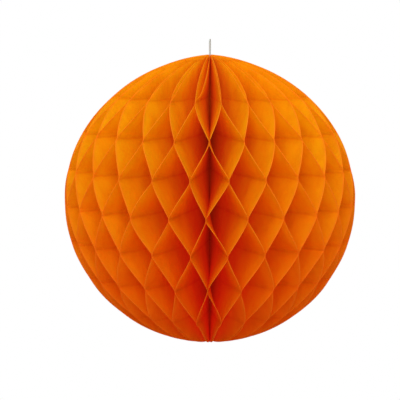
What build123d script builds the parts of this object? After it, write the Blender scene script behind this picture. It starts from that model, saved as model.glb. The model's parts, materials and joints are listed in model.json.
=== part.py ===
from build123d import *
import os
from math import cos, pi, radians, sin, tan

# Honeycomb ball, in millimetres. The origin is the inside of the hanging loop's crown, +Z is up,
# and the seam where the two covers meet faces +Y.

# Ball
BALL_RADIUS = 100.0
LEAVES = 48
STEP = 360 / LEAVES                 # degrees from one leaf to the next
EQUATOR_SWELL = 0.8                 # a hanging ball is a little fuller at its equator
SHOULDER_DIP = 2.2                  # and flatter between there and its upper pole,
SHOULDER_LATITUDE = 56.25           # most of all this many degrees up

# Glue rows, heights from the ball's centre: a leaf is glued to its neighbour on one side at the
# even rows, counted from the top, and to the one on its other side at the odd rows
ROW_PITCH = 25.0
TOP_ROW = 72.0
ROWS = 7
GLUE_HEIGHT = 2.5
FREE_SPLAY = 1.5                    # degrees that a leaf's free ends turn from the last row's neighbour

# Leaves
LEAF_THICKNESS = 0.15
GLUE_GAP = 0.05
SPINE_GAP = 1.6                     # from a leaf's hinge line to its inner edge
BLANK_REACH = 106.0                 # a leaf's length out, up and down before its edge is cut round

# Covers and the seam
COVER_THICKNESS = 0.6
COVER_RADIUS = 97.8
SEAM_HALF_GAP = 0.1
HINGE_RADIUS = SEAM_HALF_GAP + COVER_THICKNESS
TAPE_SIZE = (26.0, 12.0)
TAPE_THICKNESS = 0.18
TAPE_REACH = 78.0                   # from the axis to a tape's middle
TAPE_ANGLES = {"upper": 42, "middle": 0, "lower": -42}

# Thread
THREAD_DIAMETER = 0.9
KNOT_DIAMETER = 2.8
KNOT_DEPTH = 5.0                    # knots sit this far inside the poles
LOOP_RISE = 10.6                    # from the ball's upper pole to the inside of the loop's crown
LOOP_FOOT = 1.1                     # between the loop's two strands at the knot
LOOP_CROWN = 3.6                    # and at the crown
LOOP_WAYPOINTS = ((0.70, 0.97), (0.98, 0.48))   # shares of the crown's width, and of the rise below it
LOOP_TURN = 80                      # degrees from +X to the loop's plane
BEND_SHARE = 0.45                   # of the shorter run beside it that a bend in the loop takes up

CENTRE_Z = -(LOOP_RISE + BALL_RADIUS)


def hinge_point(angle):
    """Where the leaf or cover at this angle from the seam hangs on the spine, as X and Y."""
    turned = radians(180 + angle / 2)
    return HINGE_RADIUS * cos(turned), HINGE_RADIUS * sin(turned)


def outline_radius(latitude):
    """The hanging ball's radius at a latitude in degrees, from -90 to 90."""
    swell = EQUATOR_SWELL * cos(radians(latitude))**2
    dip = SHOULDER_DIP * sin(pi / 2 * max(latitude, 0) / SHOULDER_LATITUDE)**2
    return BALL_RADIUS + swell - dip


def make_leaf(first_side):
    """One leaf on its own mean plane: X outward, Y across the sheet, Z up from the ball's centre.

    first_side is +1 or -1, the neighbour it is glued to at the top row.
    """
    free_end = first_side * (STEP / 2 - FREE_SPLAY)
    stations = [(BLANK_REACH, first_side, free_end)]
    for row in range(ROWS):
        side = first_side if row % 2 == 0 else -first_side
        middle = TOP_ROW - row * ROW_PITCH
        stations += [
            (middle + GLUE_HEIGHT / 2, side, side * STEP / 2),
            (middle - GLUE_HEIGHT / 2, side, side * STEP / 2),
        ]
    stations.append((-BLANK_REACH, first_side, free_end))
    offset = (LEAF_THICKNESS + GLUE_GAP) / 2
    outline = []
    for latitude in (89, *range(80, -81, -10), -89):
        radius = outline_radius(latitude)
        outline.append((max(radius * cos(radians(latitude)), SPINE_GAP), radius * sin(radians(latitude))))
    with BuildPart() as leaf:
        for height, side, angle in stations:
            with BuildSketch(Plane.XY.offset(height)):
                with Locations(Location((0, 0, 0), (0, 0, angle))):
                    with Locations((SPINE_GAP / 2, -side * offset)):
                        Rectangle(BLANK_REACH, LEAF_THICKNESS, align=(Align.MIN, Align.CENTER))
        loft(ruled=True)
        with BuildSketch(Plane.XZ):
            with BuildLine():
                edge = Spline(*outline)
                Line(edge @ 1, edge @ 0)
            make_face()
        extrude(amount=STEP * 2, both=True, mode=Mode.INTERSECT)
    return leaf.part


def make_cover(near, far):
    """A half-disc of card in the seam, between two X positions."""
    with BuildPart() as cover:
        with BuildSketch(Plane.YZ.offset(near)):
            with Locations((0, CENTRE_Z)):
                Circle(COVER_RADIUS)
            with Locations((SPINE_GAP, CENTRE_Z)):
                Rectangle(2 * COVER_RADIUS, 2 * COVER_RADIUS,
                          align=(Align.MAX, Align.CENTER), mode=Mode.SUBTRACT)
        extrude(amount=far - near)
    return cover.part


def save(part, label):
    part.label = label
    export_step(part, f"parts/{label}.step")


os.makedirs("parts", exist_ok=True)

# Covers: the fixed one lies on the -X side of the seam, the swinging one on the +X side
fixed_cover = make_cover(-HINGE_RADIUS, -SEAM_HALF_GAP)
swing_cover = make_cover(SEAM_HALF_GAP, HINGE_RADIUS)
save(fixed_cover, "fixed_cover")
save(swing_cover, "swing_cover")

# Adhesive strips on the fixed cover's outer face
for place, angle in TAPE_ANGLES.items():
    with BuildPart() as tape:
        with BuildSketch(Plane.YZ.offset(-SEAM_HALF_GAP)):
            with Locations(Location((0, CENTRE_Z, 0), (0, 0, angle))):
                with Locations((TAPE_REACH, 0)):
                    Rectangle(*TAPE_SIZE)
        extrude(amount=TAPE_THICKNESS)
    save(tape.part, f"closure_tape_{place}")

# Leaves: every second one zigzags the other way
leaf_shapes = make_leaf(-1), make_leaf(1)
for number in range(1, LEAVES + 1):
    angle = (number - 0.5) * STEP
    x, y = hinge_point(angle)
    with BuildPart() as placed:
        with Locations(Location((x, y, CENTRE_Z), (0, 0, 90 + angle))):
            add(leaf_shapes[number % 2])
    save(placed.part, f"leaf_{number:02d}")

# Hanging loop: a route up from the top knot, over the crown and down again
side = [
    (LOOP_FOOT / 2, CENTRE_Z + BALL_RADIUS - KNOT_DEPTH + KNOT_DIAMETER / 4),
    *[(LOOP_CROWN / 2 * across, -LOOP_RISE * down) for across, down in LOOP_WAYPOINTS],
    (LOOP_CROWN / 2, THREAD_DIAMETER / 2),
]
route = [Vector(-x, z) for x, z in side] + [Vector(x, z) for x, z in reversed(side)]
runs = [after - before for before, after in zip(route, route[1:])]
bends = [
    BEND_SHARE * min(before.length, after.length) / tan(radians(before.get_angle(after) / 2))
    for before, after in zip(runs, runs[1:])
]
print("hanging loop's bend radii:", [round(bend, 2) for bend in bends])
turn = radians(LOOP_TURN)
loop_plane = Plane(origin=(0, 0, 0), x_dir=(cos(turn), sin(turn), 0), z_dir=(sin(turn), -cos(turn), 0))
with BuildPart() as hanging_loop:
    with BuildLine(loop_plane):
        path = FilletPolyline(*route, radius=bends)
    with BuildSketch(Plane(origin=path @ 0, z_dir=path % 0)):
        Circle(THREAD_DIAMETER / 2)
    sweep()
print("hanging loop's length:", round(path.length, 2), "volume over section:",
      round(hanging_loop.part.volume / (pi * THREAD_DIAMETER**2 / 4), 2))
save(hanging_loop.part, "hanging_loop")

# Thread through the spine, and the knots that hold it
knot_height = BALL_RADIUS - KNOT_DEPTH
with BuildPart() as spine_thread:
    with Locations((0, 0, CENTRE_Z)):
        Cylinder(THREAD_DIAMETER / 2, 2 * knot_height)
save(spine_thread.part, "spine_thread")

for label, height in (("top_knot", knot_height), ("bottom_knot", -knot_height)):
    with BuildPart() as knot:
        with Locations((0, 0, CENTRE_Z + height)):
            Sphere(KNOT_DIAMETER / 2)
        add(spine_thread.part, mode=Mode.SUBTRACT)
        if height > 0:
            add(hanging_loop.part, mode=Mode.SUBTRACT)
    save(knot.part, label)
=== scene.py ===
import json
import random
from math import cos, pi, radians, sin, sqrt

import bpy
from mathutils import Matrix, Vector, noise


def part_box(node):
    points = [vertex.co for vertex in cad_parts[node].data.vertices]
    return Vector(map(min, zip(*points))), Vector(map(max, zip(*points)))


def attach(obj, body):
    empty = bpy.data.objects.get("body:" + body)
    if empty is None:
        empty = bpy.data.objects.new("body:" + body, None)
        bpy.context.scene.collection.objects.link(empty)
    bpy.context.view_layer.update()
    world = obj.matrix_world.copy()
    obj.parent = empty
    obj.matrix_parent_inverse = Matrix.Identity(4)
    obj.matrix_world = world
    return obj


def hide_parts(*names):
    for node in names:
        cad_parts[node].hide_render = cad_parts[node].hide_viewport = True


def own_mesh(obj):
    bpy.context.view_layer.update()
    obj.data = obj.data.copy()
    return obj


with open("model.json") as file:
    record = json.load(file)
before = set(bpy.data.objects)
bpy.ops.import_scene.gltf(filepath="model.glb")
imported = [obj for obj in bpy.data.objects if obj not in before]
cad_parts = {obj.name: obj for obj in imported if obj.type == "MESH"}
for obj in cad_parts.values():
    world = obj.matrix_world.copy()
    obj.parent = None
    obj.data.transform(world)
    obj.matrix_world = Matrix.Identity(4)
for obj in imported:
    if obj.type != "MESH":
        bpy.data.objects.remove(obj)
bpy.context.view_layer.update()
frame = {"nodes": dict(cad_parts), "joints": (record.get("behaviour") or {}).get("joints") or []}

scene = bpy.context.scene
scene.view_settings.view_transform = "Standard"

MM = 0.001

# The ball as the CAD has it, in metres
spine_low, spine_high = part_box("spine_thread")
CENTRE = (spine_low + spine_high) / 2
BALL_RADIUS = 100.0 * MM
EQUATOR_SWELL = 0.8 * MM
SHOULDER_DIP = 2.2 * MM
SHOULDER_LATITUDE = 56.25
CROWN_PEAK = 1.4 * MM               # the leaves' upper corners, drawn up by the thread
CROWN_LATITUDE = 70.0
CROWN_POWER = 1.3
LEAVES = 48
HALF_STEP = 360 / LEAVES / 2
ROW_PITCH = 25.0 * MM
TOP_ROW = 72.0 * MM
ROWS = 7
GLUE_HEIGHT = 2.5 * MM
SPINE_GAP = 1.6 * MM
THREAD_DIAMETER = 0.9 * MM

# How far handmade gluing strays from the pattern
SEED = 7
NODE_SWING = 0.35                   # degrees, at a glued spot
NODE_LIFT = 0.45 * MM
EDGE_BOW = 0.25                     # degrees, between two glued spots
FREE_SPLAY = (0.2, 3.2)             # degrees that a free end turns away from its last glued neighbour
TOP_SPLAY = {24: 6.9, 25: 0.4}      # the same for the front leaves' ends, which are not left to chance
BOTTOM_SPLAY = {23: -4.0, 24: 4.4, 25: 4.4, 26: -4.0}
S_SHARE = 0.12                      # how far a run between two glued spots is from straight, towards an S
CRINKLE = 0.30 * MM
CRINKLE_SCALE = 42
RIM_WAVER = 0.16 * MM
RIM_WAVER_SCALE = 60
NOISE_STEP = 11.3                   # from one leaf's crinkles to the next leaf's


# Camera, at the photograph's viewing angle

CAMERA_ELEVATION = 6.5
CAMERA_DISTANCE = 1.6
CAMERA_LENS = 206.2
CAMERA_AZIMUTH = 0.55
AIM = CENTRE + Vector((-6.9, 0, -1.0)) * MM

tilt = radians(CAMERA_ELEVATION)
turn = radians(CAMERA_AZIMUTH)
camera = bpy.data.objects.new("camera", bpy.data.cameras.new("camera"))
scene.collection.objects.link(camera)
camera.data.lens = CAMERA_LENS
camera.data.clip_start = 0.05
camera.data.clip_end = 60
towards_camera = Vector((sin(turn) * cos(tilt), -cos(turn) * cos(tilt), sin(tilt)))
camera.location = CENTRE + CAMERA_DISTANCE * towards_camera
camera.rotation_euler = (AIM - camera.location).to_track_quat("-Z", "Y").to_euler()
scene.camera = camera


# Node helpers

def new_material(name):
    material = bpy.data.materials.new(name)
    material.use_nodes = True
    material.node_tree.nodes.clear()
    return material, material.node_tree


def make(tree, kind, settings=None, **sockets):
    """A shader node; a socket is given by its name with _ for a space, or by i and its number."""
    made = tree.nodes.new("ShaderNode" + kind)
    for name, value in (settings or {}).items():
        setattr(made, name, value)
    for name, value in sockets.items():
        socket = made.inputs[int(name[1:])] if name[1:].isdigit() else made.inputs[name.replace("_", " ")]
        if isinstance(value, bpy.types.NodeSocket):
            tree.links.new(value, socket)
        else:
            socket.default_value = value
    return made


def scaled_noise(tree, place, scale, detail, roughness=0.55, stretch=(1, 1, 1)):
    """Noise over object coordinates, as a factor from 0 to 1."""
    mapped = make(tree, "Mapping", i0=place, Scale=stretch).outputs[0]
    made = make(tree, "TexNoise", Vector=mapped, Scale=scale, Detail=detail, Roughness=roughness)
    return made.outputs[0]


def math_node(tree, operation, *values):
    sockets = {f"i{i}": value for i, value in enumerate(values)}
    return make(tree, "Math", {"operation": operation}, **sockets).outputs[0]


def remap(tree, value, low, high, to_low=0.0, to_high=1.0):
    """The value taken from one range to another, eased at both ends and held there."""
    settings = {"interpolation_type": "SMOOTHSTEP"}
    made = make(tree, "MapRange", settings, i0=value, i1=low, i2=high, i3=to_low, i4=to_high)
    return made.outputs[0]


def mix_colour(tree, factor, a, b, blend="MIX"):
    """Two colours mixed, each a socket or red, green and blue."""
    a, b = (colour if isinstance(colour, bpy.types.NodeSocket) else (*colour, 1) for colour in (a, b))
    settings = {"data_type": "RGBA", "blend_type": blend}
    return make(tree, "Mix", settings, i0=factor, i6=a, i7=b).outputs[2]


TISSUE_LIGHT = (0.98, 0.640, 0.004)
TISSUE_DEEP = (0.93, 0.500, 0.002)
TISSUE_FIBRE = (0.99, 0.690, 0.008)
TISSUE_TINT = (1.0, 0.92, 0.92)     # the most that one leaf differs from another
TISSUE_PAINTED_LOW = (1.0, 0.54, 1.8)       # painted shade at the bottom of the ball: redder, where less light reaches
TISSUE_PAINTED_HIGH = (0.965, 0.99, 1.0)    # and the painted shade from this height up: a little less red, where the light falls strongest
TISSUE_PAINTED_HIGH_FROM = CENTRE.z + 0.6 * BALL_RADIUS
TISSUE_GLUED = (0.96, 0.80, 0.80)
TISSUE_RIM = (1.0, 0.40, 0.035)
TISSUE_REDDENED = (1.08, 1.02, 0.5)
TISSUE_THROUGH = 0.62               # the share of light that goes through
TISSUE_GLOW_NEAR = (0.55, 0.22, 0.0)
TISSUE_GLOW_DEEP = (1.0, 0.07, 0.03)
TISSUE_GLOW_SPINE = (0.42, 0.04, 0.02)
TISSUE_GLOW = 0.09                  # stands in for light that has gone through many leaves
GLUE_WANDER = 1.6 * MM
GLUE_STRIPE = (0.014, 0.038)        # half width of a glue stripe and of its soft edge, in row pitches


def make_tissue():
    """Dyed tissue paper: cloudy with fibres, some light coming through, darker stripes where it is glued."""
    material, tree = new_material("tissue")
    place = make(tree, "TexCoord").outputs["Object"]
    height = make(tree, "SeparateXYZ", Vector=place).outputs["Z"]

    cloud = scaled_noise(tree, place, scale=90, detail=4, roughness=0.6, stretch=(1, 1, 0.5))
    cloud = remap(tree, cloud, 0.3, 0.7)
    fibre = scaled_noise(tree, place, scale=900, detail=4, roughness=0.7, stretch=(1, 1, 0.35))
    fleck = scaled_noise(tree, place, scale=2600, detail=2, roughness=0.6)

    wander = scaled_noise(tree, place, scale=160, detail=2)
    stripe_height = math_node(tree, "MULTIPLY_ADD", wander, GLUE_WANDER, height)
    below_top = math_node(tree, "SUBTRACT", stripe_height, CENTRE.z + TOP_ROW + GLUE_WANDER / 2)
    pitches = math_node(tree, "DIVIDE", below_top, ROW_PITCH)
    nearest = math_node(tree, "ROUND", pitches)
    from_row = math_node(tree, "ABSOLUTE", math_node(tree, "SUBTRACT", pitches, nearest))
    glue = remap(tree, from_row, *GLUE_STRIPE, to_low=1.0, to_high=0.0)

    rim = make(tree, "Attribute", {"attribute_name": "rim"}).outputs["Fac"]
    tint = make(tree, "Attribute", {"attribute_name": "tint"}).outputs["Fac"]
    inward = make(tree, "Attribute", {"attribute_name": "inward"}).outputs["Fac"]

    colour = mix_colour(tree, cloud, TISSUE_DEEP, TISSUE_LIGHT)
    colour = mix_colour(tree, remap(tree, fibre, 0.35, 0.75, to_high=0.55), colour, TISSUE_FIBRE)
    colour = mix_colour(tree, remap(tree, fleck, 0.60, 0.80, to_high=0.25), colour, TISSUE_DEEP)
    colour = mix_colour(tree, tint, colour, TISSUE_TINT, "MULTIPLY")
    # Painted shade by height: redder towards the bottom, which gets less light, and a little less red at the
    # top
    raised = remap(tree, height, CENTRE.z - BALL_RADIUS, TISSUE_PAINTED_HIGH_FROM)
    painted_height_shade = mix_colour(tree, raised, TISSUE_PAINTED_LOW, TISSUE_PAINTED_HIGH)
    colour = mix_colour(tree, 1.0, colour, painted_height_shade, "MULTIPLY")
    colour = mix_colour(tree, math_node(tree, "MULTIPLY", glue, 0.6), colour, TISSUE_GLUED, "MULTIPLY")
    colour = mix_colour(tree, math_node(tree, "MULTIPLY", rim, 0.65), colour, TISSUE_RIM)

    crease = scaled_noise(tree, place, scale=190, detail=4, roughness=0.6)
    relief = math_node(tree, "ADD", crease, math_node(tree, "MULTIPLY", fibre, 0.12))
    relief = math_node(tree, "ADD", relief, math_node(tree, "MULTIPLY", glue, 0.10))
    bump = make(tree, "Bump", Strength=0.65, Distance=0.6 * MM, Height=relief).outputs[0]

    glow = mix_colour(tree, remap(tree, inward, 0.12, 0.55), TISSUE_GLOW_NEAR, TISSUE_GLOW_DEEP)
    glow = mix_colour(tree, remap(tree, inward, 0.60, 1.0), glow, TISSUE_GLOW_SPINE)
    front = make(tree, "BsdfPrincipled", Base_Color=colour, Normal=bump, Roughness=0.9,
                 Specular_IOR_Level=0.06, Emission_Color=glow, Emission_Strength=TISSUE_GLOW)
    reddened = mix_colour(tree, 1.0, colour, TISSUE_REDDENED, "MULTIPLY")
    through = make(tree, "BsdfTranslucent", Color=reddened, Normal=bump)
    both = make(tree, "MixShader", i0=TISSUE_THROUGH, i1=front.outputs[0], i2=through.outputs[0])
    make(tree, "OutputMaterial", Surface=both.outputs[0])
    return material


def make_card():
    """Solid-dyed craft card: pressed fibres, faint blotches and scuffed darker specks."""
    material, tree = new_material("card")
    place = make(tree, "TexCoord").outputs["Object"]
    blotch = scaled_noise(tree, place, scale=38, detail=3)
    fibre = scaled_noise(tree, place, scale=700, detail=5, roughness=0.7, stretch=(1, 0.4, 1))
    speck = scaled_noise(tree, place, scale=1500, detail=2, roughness=0.5)
    colour = mix_colour(tree, blotch, (0.80, 0.255, 0.018), (0.86, 0.315, 0.026))
    colour = mix_colour(tree, remap(tree, fibre, 0.40, 0.72, to_high=0.6), colour, (0.90, 0.375, 0.045))
    colour = mix_colour(tree, remap(tree, speck, 0.66, 0.78, to_high=0.5), colour, (0.55, 0.15, 0.010))
    relief = math_node(tree, "ADD", fibre, math_node(tree, "MULTIPLY", blotch, 0.8))
    bump = make(tree, "Bump", Strength=0.25, Distance=0.15 * MM, Height=relief).outputs[0]
    worn = remap(tree, blotch, 0.3, 0.7, to_low=0.62, to_high=0.74)
    board = make(tree, "BsdfPrincipled", Base_Color=colour, Normal=bump, Roughness=worn)
    make(tree, "OutputMaterial", Surface=board.outputs[0])
    return material


def make_strip():
    """Foam adhesive strip under its waxed peel-off paper."""
    material, tree = new_material("adhesive_strip")
    place = make(tree, "TexCoord").outputs["Object"]
    mottle = scaled_noise(tree, place, scale=260, detail=4, roughness=0.6)
    grain = scaled_noise(tree, place, scale=1800, detail=2)
    colour = mix_colour(tree, mottle, (0.80, 0.79, 0.73), (0.90, 0.89, 0.85))
    colour = mix_colour(tree, remap(tree, grain, 0.62, 0.80, to_high=0.4), colour, (0.66, 0.64, 0.57))
    bump = make(tree, "Bump", Strength=0.3, Distance=0.08 * MM, Height=mottle).outputs[0]
    waxed = remap(tree, mottle, 0.3, 0.7, to_low=0.32, to_high=0.46)
    backing = make(tree, "BsdfPrincipled", Base_Color=colour, Normal=bump, Roughness=waxed)
    make(tree, "OutputMaterial", Surface=backing.outputs[0])
    return material


def make_thread(name, dark, pale, soiled, lustre):
    """Spun polyester thread: fibres that run slightly across the ply, soiled in places."""
    material, tree = new_material(name)
    place = make(tree, "TexCoord").outputs["Object"]
    fibre = scaled_noise(tree, place, scale=5200, detail=3, roughness=0.6, stretch=(1, 1, 0.3))
    soiling = scaled_noise(tree, place, scale=240, detail=2)
    colour = mix_colour(tree, fibre, dark, pale)
    colour = mix_colour(tree, remap(tree, soiling, 0.45, 0.75, to_high=0.35), colour, soiled)
    bump = make(tree, "Bump", Strength=0.5, Distance=0.03 * MM, Height=fibre).outputs[0]
    spun = make(tree, "BsdfPrincipled", Base_Color=colour, Normal=bump, Roughness=0.72,
                Specular_IOR_Level=lustre, Sheen_Weight=lustre, Sheen_Roughness=0.4)
    make(tree, "OutputMaterial", Surface=spun.outputs[0])
    return material


tissue = make_tissue()
card = make_card()
strip = make_strip()
thread = make_thread("thread", dark=(0.50, 0.53, 0.49), pale=(0.74, 0.78, 0.73),
                     soiled=(0.50, 0.50, 0.45), lustre=0.3)
# The spine and bottom knot's thread: its dark red is painted shade, the dark of the ball's deep middle
painted_shade_thread = make_thread("painted_shade_thread", dark=(0.50, 0.06, 0.002), pale=(0.70, 0.12, 0.003),
                          soiled=(0.38, 0.04, 0.002), lustre=0.02)


# Thread: three plies laid round a line of points

PLIES = 3
PLY_RADIUS = THREAD_DIAMETER / 2 / (1 + 2 / sqrt(3))
PLY_LAY = THREAD_DIAMETER / 2 - PLY_RADIUS
PLY_PITCH = 3.4 * MM


def new_piece(name, vertices, faces, material, smooth_angle=None):
    mesh = bpy.data.meshes.new(name)
    mesh.from_pydata(vertices, [], faces)
    mesh.validate()
    mesh.materials.append(material)
    for polygon in mesh.polygons:
        polygon.use_smooth = True
    if smooth_angle is not None:
        mesh.set_sharp_from_angle(angle=radians(smooth_angle))
    piece = bpy.data.objects.new(name, mesh)
    scene.collection.objects.link(piece)
    return piece


def carried_frames(points, closed=False):
    """Each point with two directions across the line there, carried along without twisting."""
    count = len(points)
    across = None
    frames = []
    for i, point in enumerate(points):
        if closed:
            ahead = points[(i + 1) % count] - points[i - 1]
        else:
            ahead = points[min(i + 1, count - 1)] - points[max(i - 1, 0)]
        ahead.normalize()
        across = (across or ahead.orthogonal()).copy()
        across = (across - ahead * across.dot(ahead)).normalized()
        frames.append((point, across, ahead.cross(across)))
    return frames


def spaced(points, step):
    """The same line with points every step along it."""
    total = sum((b - a).length for a, b in zip(points, points[1:]))
    count = max(2, round(total / step))
    made, gone, target = [points[0].copy()], 0.0, total / count
    for a, b in zip(points, points[1:]):
        run = (b - a).length
        while gone + run >= target * len(made) and len(made) < count:
            made.append(a.lerp(b, (target * len(made) - gone) / run))
        gone += run
    made.append(points[-1].copy())
    return made


def plied(points, step, sides, plies=PLIES, ply_radius=PLY_RADIUS, lay=PLY_LAY, closed=False):
    """Vertices and faces of a twisted thread along points a step apart; lay is from its middle to a ply's."""
    frames = carried_frames(points, closed)
    vertices, faces = [], []
    for ply in range(plies):
        start = len(vertices)
        for i, (point, u, v) in enumerate(frames):
            turn = 2 * pi * (i * step / PLY_PITCH + ply / plies)
            middle = point + (u * cos(turn) + v * sin(turn)) * lay
            for side in range(sides):
                around = 2 * pi * side / sides
                vertices.append(middle + (u * cos(around) + v * sin(around)) * ply_radius)
        rings = len(frames)
        for i in range(rings if closed else rings - 1):
            for side in range(sides):
                a, b = start + i * sides, start + (i + 1) % rings * sides
                after = (side + 1) % sides
                faces.append((a + side, a + after, b + after, b + side))
        if not closed:
            faces.append(tuple(start + side for side in reversed(range(sides))))
            faces.append(tuple(start + (rings - 1) * sides + side for side in range(sides)))
    return vertices, faces


# Hanging loop's route, the CAD's points in millimetres: along the loop's plane, and up
LOOP_TURN = radians(80)
LOOP_ROUTE = (
    (-0.55, -14.9), (-1.26, -10.282), (-1.764, -5.088), (-1.8, 0.45),
    (1.8, 0.45), (1.764, -5.088), (1.26, -10.282), (0.55, -14.9),
)
loop_line = bpy.data.curves.new("loop_line", "CURVE")
loop_line.dimensions = "3D"
loop_line.resolution_u = 24
spline = loop_line.splines.new("NURBS")
spline.points.add(len(LOOP_ROUTE) - 1)
for control, (along, up) in zip(spline.points, LOOP_ROUTE):
    control.co = (along * cos(LOOP_TURN) * MM, along * sin(LOOP_TURN) * MM, up * MM, 1)
spline.order_u = 3
spline.use_endpoint_u = True
loop_guide = bpy.data.objects.new("loop_guide", loop_line)
scene.collection.objects.link(loop_guide)
bpy.context.view_layer.update()
line_mesh = bpy.data.meshes.new_from_object(loop_guide)
line_points = [vertex.co.copy() for vertex in line_mesh.vertices]
bpy.data.objects.remove(loop_guide)

LOOP_STEP = 0.2 * MM
loop_points = spaced(line_points, LOOP_STEP)
hanging_loop = new_piece("hanging_loop_thread", *plied(loop_points, LOOP_STEP, sides=8), thread)
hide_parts("hanging_loop")
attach(hanging_loop, "fixed_cover")

SPINE_STEP = 0.5 * MM
spine_points = spaced([Vector((0, 0, spine_low.z)), Vector((0, 0, spine_high.z))], SPINE_STEP)
spine = new_piece("spine_thread_plied", *plied(spine_points, SPINE_STEP, sides=6), painted_shade_thread)
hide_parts("spine_thread")
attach(spine, "fixed_cover")


# Knots: the thread wound through itself in a trefoil

KNOT_WIND = 0.29 * MM
KNOT_DEPTH = 1.9                    # times KNOT_WIND
KNOT_POINTS = 72
KNOT_STEP = 0.35 * MM
KNOT_PLY_RADIUS = 0.24 * MM
KNOT_LAY = 0.2 * MM
TAIL_LENGTH = 1.4 * MM              # below the ball


def wound_knot(name, node, material, tail_end=None):
    """A knot in a node's place, with a trimmed tail that hangs down to a height if one is given."""
    low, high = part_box(node)
    middle = (low + high) / 2
    points = []
    for i in range(KNOT_POINTS):
        t = 2 * pi * i / KNOT_POINTS
        wind = Vector((sin(t) + 2 * sin(2 * t), cos(t) - 2 * cos(2 * t), -KNOT_DEPTH * sin(3 * t)))
        points.append(middle + wind * KNOT_WIND)
    vertices, faces = plied(points, KNOT_STEP, sides=8, plies=2, ply_radius=KNOT_PLY_RADIUS, lay=KNOT_LAY,
                            closed=True)
    if tail_end is not None:
        hanging = spaced([middle, Vector((middle.x, middle.y, tail_end))], SPINE_STEP)
        tail_vertices, tail_faces = plied(hanging, SPINE_STEP, sides=6)
        faces += [tuple(len(vertices) + i for i in face) for face in tail_faces]
        vertices += tail_vertices
    knot = new_piece(name, vertices, faces, material)
    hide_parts(node)
    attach(knot, "fixed_cover")


wound_knot("top_knot_wound", "top_knot", thread)
wound_knot("bottom_knot_wound", "bottom_knot", painted_shade_thread, CENTRE.z - BALL_RADIUS - TAIL_LENGTH)


# Leaves

LEAF_THICKNESS = 0.13 * MM
GLUE_GAP = 0.02 * MM
EDGE_FRAY = 2.4                     # how many times thicker the cut edge grows where no glue holds it
LEVEL_LATITUDE = 2.6                # degrees of outline between two levels of the mesh, at most
LEVEL_HEIGHT = 3.0 * MM
POLE_LATITUDE = 89.0
POLE_REACH = 1.08 * SPINE_GAP       # a leaf's least reach, so that it keeps some width at the poles
BISECTIONS = 40
CREASE_ANGLE = 28                   # degrees; anything sharper isn't shaded smooth
ACROSS = (0, 0.14, 0.28, 0.42, 0.56, 0.69, 0.81, 0.90, 0.955, 0.982, 0.994, 1)
RIM_SHADE = {1: 1.0, 0.994: 0.5, 0.982: 0.15}

draw = random.Random(SEED)
glued_spots = [(boundary, row) for boundary in range(LEAVES + 1) for row in range(ROWS)]
runs = [(number, run) for number in range(1, LEAVES + 1) for run in range(ROWS + 1)]
node_swing = {spot: draw.gauss(0, NODE_SWING) for spot in glued_spots}
node_lift = {spot: draw.uniform(-NODE_LIFT, NODE_LIFT) for spot in glued_spots}
node_swing.update({spot: 0.0 for spot in glued_spots if spot[0] in (0, LEAVES)})    # flat on the covers
edge_bow = {spot: draw.gauss(0, EDGE_BOW) for spot in runs}
free_splay = {spot: draw.uniform(*FREE_SPLAY) for spot in runs if spot[1] in (0, ROWS)}
free_splay.update({(number, 0): splay for number, splay in TOP_SPLAY.items()})
free_splay.update({(number, ROWS): splay for number, splay in BOTTOM_SPLAY.items()})


def outline_radius(latitude):
    """The hanging ball's radius at a latitude in degrees."""
    swell = EQUATOR_SWELL * cos(radians(latitude))**2
    dip = SHOULDER_DIP * sin(pi / 2 * max(latitude, 0) / SHOULDER_LATITUDE)**2
    peak = CROWN_PEAK * max(0.0, (latitude - CROWN_LATITUDE) / (90 - CROWN_LATITUDE))**CROWN_POWER
    return BALL_RADIUS + swell - dip + peak


def latitude_at(height):
    """The latitude where the outline is at a height from the ball's centre, found by halving."""
    low, high = -90.0, 90.0
    for _ in range(BISECTIONS):
        latitude = (low + high) / 2
        if outline_radius(latitude) * sin(radians(latitude)) < height:
            low = latitude
        else:
            high = latitude
    return latitude


def row_height(row):
    """A glue row's height from the ball's centre; row 0 is the top one."""
    return TOP_ROW - row * ROW_PITCH


def mesh_levels():
    """Heights of a leaf's levels: both edges of every glue row, and enough between them to look round."""
    pole = radians(POLE_LATITUDE)
    low, high = -outline_radius(-POLE_LATITUDE) * sin(pole), outline_radius(POLE_LATITUDE) * sin(pole)
    fixed = {low, high}
    for row in range(ROWS):
        for edge in (-GLUE_HEIGHT / 2, GLUE_HEIGHT / 2):
            if low < row_height(row) + edge < high:
                fixed.add(row_height(row) + edge)
    fixed = sorted(fixed)
    levels = []
    for a, b in zip(fixed, fixed[1:]):
        lat_a, lat_b = latitude_at(a), latitude_at(b)
        parts = max(1, round(max((b - a) / LEVEL_HEIGHT, (lat_b - lat_a) / LEVEL_LATITUDE)))
        for i in range(parts):
            latitude = lat_a + (lat_b - lat_a) * i / parts
            levels.append(outline_radius(latitude) * sin(radians(latitude)))
    return levels + [fixed[-1]]


LEVELS = mesh_levels()


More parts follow.
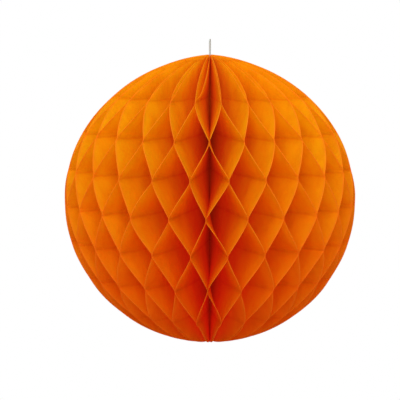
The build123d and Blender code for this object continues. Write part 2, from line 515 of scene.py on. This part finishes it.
def leaf_course(number, height):
    """Where a leaf runs at a height: its angle from its mean plane, its lift at the rim, which neighbour
    it lies on (1 to -1), and how free it is of the glue (0 to 1)."""
    run = max(0, min(ROWS, int((TOP_ROW - height) / ROW_PITCH + 1)))
    first = 1 if number % 2 else -1

    def spot(row):
        """A leaf's angle, lift and side where it is glued at a row."""
        side = first if row % 2 == 0 else -first
        boundary = number if side > 0 else number - 1
        return side * HALF_STEP + node_swing[boundary, row], node_lift[boundary, row], side

    top = BALL_RADIUS if run == 0 else row_height(run - 1) - GLUE_HEIGHT / 2
    bottom = -BALL_RADIUS if run == ROWS else row_height(run) + GLUE_HEIGHT / 2
    t = max(0.0, min(1.0, (top - height) / (top - bottom)))
    if run in (0, ROWS):
        angle, lift, side = spot(0 if run == 0 else ROWS - 1)
        away = sqrt(1 - t if run == 0 else t)
        return angle - side * free_splay[number, run] * away, lift * (1 - away), side, away
    (angle_a, lift_a, side_a), (angle_b, lift_b, side_b) = spot(run - 1), spot(run)
    eased = t + (t * t * (3 - 2 * t) - t) * S_SHARE
    angle = angle_a + (angle_b - angle_a) * eased + edge_bow[number, run] * sin(pi * t)
    return angle, lift_a + (lift_b - lift_a) * eased, side_a + (side_b - side_a) * eased, sin(pi * t)**0.5


leaf_joint = {joint["child"]: joint for joint in frame["joints"]}


def make_leaf(number):
    """One leaf, a thin sheet with two faces, in levels of height and columns from the thread to the rim."""
    node = f"leaf_{number:02d}"
    joint = leaf_joint[node]
    plane = joint["deforming_nodes"][0]
    normal = Vector(plane["fixed_plane_normal"])
    hinge = Vector(plane["fixed_plane_point_m"])
    outward = Vector((normal.y, -normal.x, 0))
    phase = NOISE_STEP * number
    vertices, rims, inwards = [], [], []
    for height in LEVELS:
        angle, lift, side, free = leaf_course(number, height)
        latitude = latitude_at(height)
        waver = RIM_WAVER * noise.noise(Vector((height * RIM_WAVER_SCALE, phase, 0.5)))
        reach = max((outline_radius(latitude) + waver) * cos(radians(latitude)), POLE_REACH)
        turn = radians(angle)
        along = outward * cos(turn) + normal * sin(turn)
        beside = normal * cos(turn) - outward * sin(turn)
        for share in ACROSS:
            out = SPINE_GAP + (reach - SPINE_GAP) * share
            wide = out / BALL_RADIUS
            ripple_at = Vector((out * CRINKLE_SCALE, height * CRINKLE_SCALE, phase))
            shift = CRINKLE * noise.fractal(ripple_at, 1.0, 2.0, 3) * free * wide
            shift -= side * (LEAF_THICKNESS + GLUE_GAP) / 2
            middle = hinge + along * out + beside * shift
            middle.z = CENTRE.z + height + lift * wide
            rim = RIM_SHADE.get(share, 0.0)
            half = LEAF_THICKNESS / 2 * (1 + EDGE_FRAY * free * rim * wide)
            for face in (-1, 1):
                vertices.append(middle + beside * (face * half))
                rims.append(rim)
                inwards.append(1 - share)
    columns = len(ACROSS)

    def at(level, column, face):
        return (level * columns + column) * 2 + face

    faces = []
    for level in range(len(LEVELS) - 1):
        for column in range(columns - 1):
            a, b = at(level, column, 0), at(level, column + 1, 0)
            c, d = at(level + 1, column + 1, 0), at(level + 1, column, 0)
            faces.append((a, b, c, d))
            faces.append((d + 1, c + 1, b + 1, a + 1))
        for column, turned in ((0, False), (columns - 1, True)):
            a, b = at(level, column, 0), at(level + 1, column, 0)
            faces.append((a, a + 1, b + 1, b) if turned else (a, b, b + 1, a + 1))
    for level, turned in ((0, False), (len(LEVELS) - 1, True)):
        for column in range(columns - 1):
            a, b = at(level, column, 0), at(level, column + 1, 0)
            faces.append((a, b, b + 1, a + 1) if turned else (a, a + 1, b + 1, b))

    leaf = new_piece(f"tissue_{node}", vertices, faces, tissue, smooth_angle=CREASE_ANGLE)
    tints = [draw.random()] * len(vertices)
    for attribute, values in (("rim", rims), ("inward", inwards), ("tint", tints)):
        leaf.data.attributes.new(attribute, "FLOAT", "POINT").data.foreach_set("value", values)
    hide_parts(node)
    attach(leaf, node)
    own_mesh(leaf)


for number in range(1, LEAVES + 1):
    make_leaf(number)


# Covers and adhesive strips keep their CAD shapes

for name in ("fixed_cover", "swing_cover"):
    frame["nodes"][name].data.materials.clear()
    frame["nodes"][name].data.materials.append(card)
for place in ("upper", "middle", "lower"):
    node = frame["nodes"][f"closure_tape_{place}"]
    node.data.materials.clear()
    node.data.materials.append(strip)


# Stage and light

FLOOR_HEIGHT = -2.3
FLOOR_HALF = 2.2
ROOM_LIGHT = (0.08, 1.0)            # from below and from above


def make_floor_paint():
    material, tree = new_material("floor_paint")
    place = make(tree, "TexCoord").outputs["Object"]
    patches = scaled_noise(tree, place, scale=3, detail=2)
    shade = mix_colour(tree, patches, (0.66, 0.66, 0.66), (0.63, 0.63, 0.63))
    paint = make(tree, "BsdfPrincipled", Base_Color=shade, Roughness=0.9)
    make(tree, "OutputMaterial", Surface=paint.outputs[0])
    return material


signs = ((-1, -1), (1, -1), (1, 1), (-1, 1))
corners = [(x * FLOOR_HALF, y * FLOOR_HALF, FLOOR_HEIGHT) for x, y in signs]
floor = new_piece("floor", corners, [(0, 1, 2, 3)], make_floor_paint())


def make_studio():
    """A white room whose light comes mostly from above, and which the camera sees as plain white."""
    world = bpy.data.worlds.new("studio")
    world.use_nodes = True
    tree = world.node_tree
    tree.nodes.clear()
    up = make(tree, "SeparateXYZ", Vector=make(tree, "TexCoord").outputs["Generated"]).outputs["Z"]
    strength = remap(tree, up, -0.6, 0.9, *ROOM_LIGHT)
    light = make(tree, "Background", Color=(1, 1, 1, 1), Strength=strength)
    seen = make(tree, "Background", Color=(1, 1, 1, 1), Strength=1.0)
    directly = make(tree, "LightPath").outputs["Is Camera Ray"]
    both = make(tree, "MixShader", i0=directly, i1=light.outputs[0], i2=seen.outputs[0])
    make(tree, "OutputWorld", Surface=both.outputs[0])
    return world


scene.world = make_studio()


def add_area(name, location, size, power):
    """A square light that faces the ball."""
    light = bpy.data.objects.new(name, bpy.data.lights.new(name, "AREA"))
    light.data.shape = "SQUARE"
    light.data.size = size
    light.data.energy = power
    light.location = location
    light.rotation_euler = (CENTRE - light.location).to_track_quat("-Z", "Y").to_euler()
    scene.collection.objects.link(light)


add_area("key", location=Vector((-0.45, -2.0, 1.6)), size=1.8, power=26)
add_area("fill", location=Vector((0.15, -2.4, 0.45)), size=1.2, power=15)
